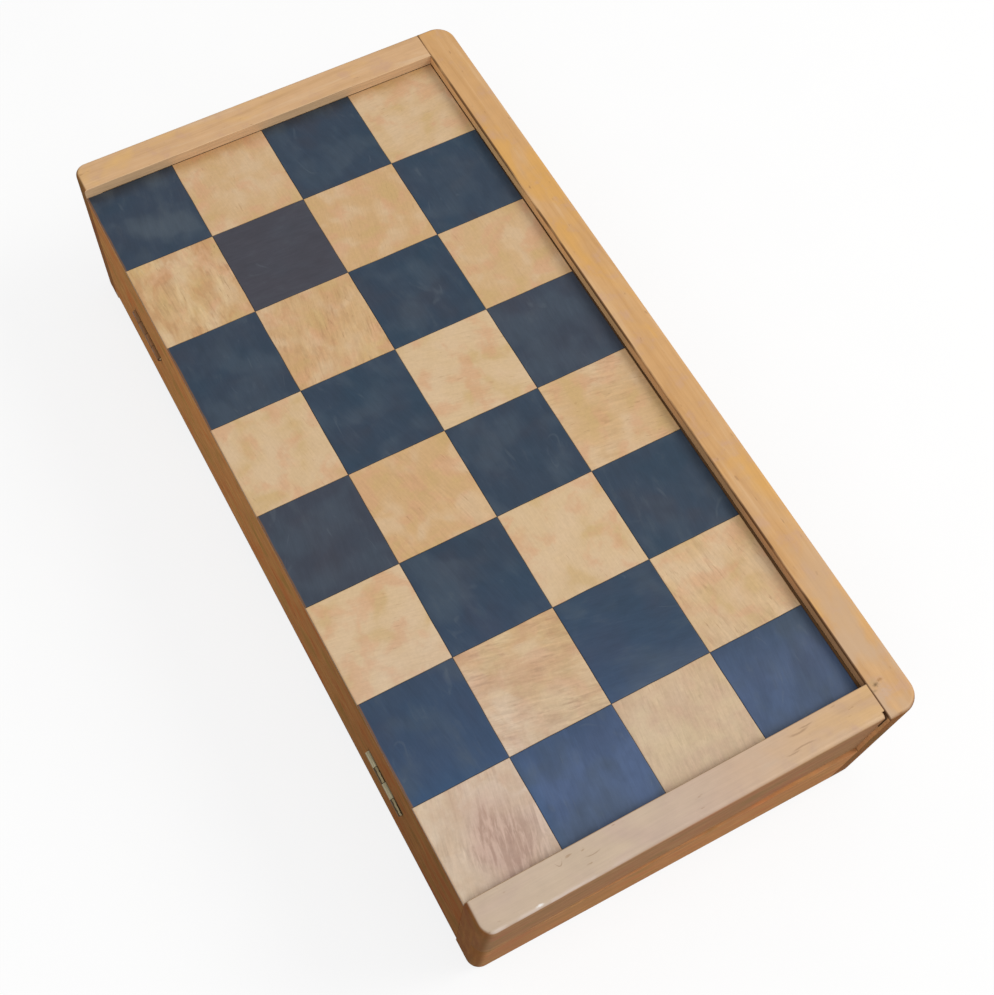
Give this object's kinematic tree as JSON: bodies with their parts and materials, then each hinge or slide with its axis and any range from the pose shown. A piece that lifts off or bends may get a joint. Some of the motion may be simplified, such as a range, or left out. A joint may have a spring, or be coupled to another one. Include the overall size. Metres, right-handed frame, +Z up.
{
  "type": "travel checkers set",
  "caption": "Folding wooden checkers case, shut, with a rimmed chequered board on each half, brass hinges and hooks, and its men lying inside.",
  "frame": {"origin": "centre of the whole shut case's box, hardware included, on the surface that it lies on", "axes": "+X from the hinge face to the hook face, +Y along the case to the far end, +Z up out of the upper board"},
  "size_m": [0.1544, 0.3012, 0.0657],
  "materials": {
    "rim_wood": "satin varnish",
    "hinge_wall_wood": "satin varnish",
    "board_ply": "bare",
    "dark_veneer": "satin varnish",
    "light_veneer": "satin varnish",
    "hardware": "tarnished",
    "light_men": "satin varnish",
    "dark_men": "satin varnish"
  },
  "bodies": {
    "lower_half": {"lower_front_wall": "rim_wood", "lower_far_wall": "rim_wood", "lower_near_wall": "rim_wood", "lower_hinge_wall": "hinge_wall_wood", "lower_board_panel": "board_ply", "lower_dark_squares": "dark_veneer", "lower_light_squares": "light_veneer", "near_hinge_lower_leaf": "hardware", "far_hinge_lower_leaf": "hardware", "near_hinge_pin": "hardware", "far_hinge_pin": "hardware", "lower_hinge_screws": "hardware", "hook_pivot_screws": "hardware"},
    "upper_half": {"upper_front_wall": "rim_wood", "upper_far_wall": "rim_wood", "upper_near_wall": "rim_wood", "upper_hinge_wall": "hinge_wall_wood", "upper_board_panel": "board_ply", "upper_dark_squares": "dark_veneer", "upper_light_squares": "light_veneer", "near_hinge_upper_leaf": "hardware", "far_hinge_upper_leaf": "hardware", "upper_hinge_screws": "hardware", "hook_catch_screws": "hardware"},
    "near_hook": {"near_hook": "hardware"},
    "far_hook": {"far_hook": "hardware"},
    "light_man_01": {"light_man_01": "light_men"},
    "light_man_02": {"light_man_02": "light_men"},
    "light_man_03": {"light_man_03": "light_men"},
    "light_man_04": {"light_man_04": "light_men"},
    "light_man_05": {"light_man_05": "light_men"},
    "light_man_06": {"light_man_06": "light_men"},
    "light_man_07": {"light_man_07": "light_men"},
    "light_man_08": {"light_man_08": "light_men"},
    "light_man_09": {"light_man_09": "light_men"},
    "light_man_10": {"light_man_10": "light_men"},
    "light_man_11": {"light_man_11": "light_men"},
    "light_man_12": {"light_man_12": "light_men"},
    "dark_man_01": {"dark_man_01": "dark_men"},
    "dark_man_02": {"dark_man_02": "dark_men"},
    "dark_man_03": {"dark_man_03": "dark_men"},
    "dark_man_04": {"dark_man_04": "dark_men"},
    "dark_man_05": {"dark_man_05": "dark_men"},
    "dark_man_06": {"dark_man_06": "dark_men"},
    "dark_man_07": {"dark_man_07": "dark_men"},
    "dark_man_08": {"dark_man_08": "dark_men"},
    "dark_man_09": {"dark_man_09": "dark_men"},
    "dark_man_10": {"dark_man_10": "dark_men"},
    "dark_man_11": {"dark_man_11": "dark_men"},
    "dark_man_12": {"dark_man_12": "dark_men"}
  },
  "joints": [
    {"name": "lid_fold", "type": "hinge", "parent": "lower_half", "child": "upper_half", "pos_m": [-0.07602, 0, 0.03285], "axis": [0, -1, 0], "range_deg": [0, 180]},
    {"name": "near_hook_swing", "type": "hinge", "parent": "lower_half", "child": "near_hook", "pos_m": [0.07412, -0.075, 0.02485], "axis": [1, 0, 0], "range_deg": [-135, 180]},
    {"name": "far_hook_swing", "type": "hinge", "parent": "lower_half", "child": "far_hook", "pos_m": [0.07412, 0.075, 0.02485], "axis": [1, 0, 0], "range_deg": [-135, 180]},
    {"name": "light_man_01_lift", "type": "slide", "parent": "lower_half", "child": "light_man_01", "axis": [0, 0, 1], "range_m": [0, 0.026]},
    {"name": "light_man_02_lift", "type": "slide", "parent": "lower_half", "child": "light_man_02", "axis": [0, 0, 1], "range_m": [0, 0.026]},
    {"name": "light_man_03_lift", "type": "slide", "parent": "lower_half", "child": "light_man_03", "axis": [0, 0, 1], "range_m": [0, 0.026]},
    {"name": "light_man_04_lift", "type": "slide", "parent": "lower_half", "child": "light_man_04", "axis": [0, 0, 1], "range_m": [0, 0.026]},
    {"name": "light_man_05_lift", "type": "slide", "parent": "lower_half", "child": "light_man_05", "axis": [0, 0, 1], "range_m": [0, 0.026]},
    {"name": "light_man_06_lift", "type": "slide", "parent": "lower_half", "child": "light_man_06", "axis": [0, 0, 1], "range_m": [0, 0.026]},
    {"name": "light_man_07_lift", "type": "slide", "parent": "lower_half", "child": "light_man_07", "axis": [0, 0, 1], "range_m": [0, 0.026]},
    {"name": "light_man_08_lift", "type": "slide", "parent": "lower_half", "child": "light_man_08", "axis": [0, 0, 1], "range_m": [0, 0.026]},
    {"name": "light_man_09_lift", "type": "slide", "parent": "lower_half", "child": "light_man_09", "axis": [0, 0, 1], "range_m": [0, 0.026]},
    {"name": "light_man_10_lift", "type": "slide", "parent": "lower_half", "child": "light_man_10", "axis": [0, 0, 1], "range_m": [0, 0.026]},
    {"name": "light_man_11_lift", "type": "slide", "parent": "lower_half", "child": "light_man_11", "axis": [0, 0, 1], "range_m": [0, 0.026]},
    {"name": "light_man_12_lift", "type": "slide", "parent": "lower_half", "child": "light_man_12", "axis": [0, 0, 1], "range_m": [0, 0.026]},
    {"name": "dark_man_01_lift", "type": "slide", "parent": "lower_half", "child": "dark_man_01", "axis": [0, 0, 1], "range_m": [0, 0.026]},
    {"name": "dark_man_02_lift", "type": "slide", "parent": "lower_half", "child": "dark_man_02", "axis": [0, 0, 1], "range_m": [0, 0.026]},
    {"name": "dark_man_03_lift", "type": "slide", "parent": "lower_half", "child": "dark_man_03", "axis": [0, 0, 1], "range_m": [0, 0.026]},
    {"name": "dark_man_04_lift", "type": "slide", "parent": "lower_half", "child": "dark_man_04", "axis": [0, 0, 1], "range_m": [0, 0.026]},
    {"name": "dark_man_05_lift", "type": "slide", "parent": "lower_half", "child": "dark_man_05", "axis": [0, 0, 1], "range_m": [0, 0.026]},
    {"name": "dark_man_06_lift", "type": "slide", "parent": "lower_half", "child": "dark_man_06", "axis": [0, 0, 1], "range_m": [0, 0.026]},
    {"name": "dark_man_07_lift", "type": "slide", "parent": "lower_half", "child": "dark_man_07", "axis": [0, 0, 1], "range_m": [0, 0.026]},
    {"name": "dark_man_08_lift", "type": "slide", "parent": "lower_half", "child": "dark_man_08", "axis": [0, 0, 1], "range_m": [0, 0.026]},
    {"name": "dark_man_09_lift", "type": "slide", "parent": "lower_half", "child": "dark_man_09", "axis": [0, 0, 1], "range_m": [0, 0.026]},
    {"name": "dark_man_10_lift", "type": "slide", "parent": "lower_half", "child": "dark_man_10", "axis": [0, 0, 1], "range_m": [0, 0.026]},
    {"name": "dark_man_11_lift", "type": "slide", "parent": "lower_half", "child": "dark_man_11", "axis": [0, 0, 1], "range_m": [0, 0.026]},
    {"name": "dark_man_12_lift", "type": "slide", "parent": "lower_half", "child": "dark_man_12", "axis": [0, 0, 1], "range_m": [0, 0.026]}
  ]
}
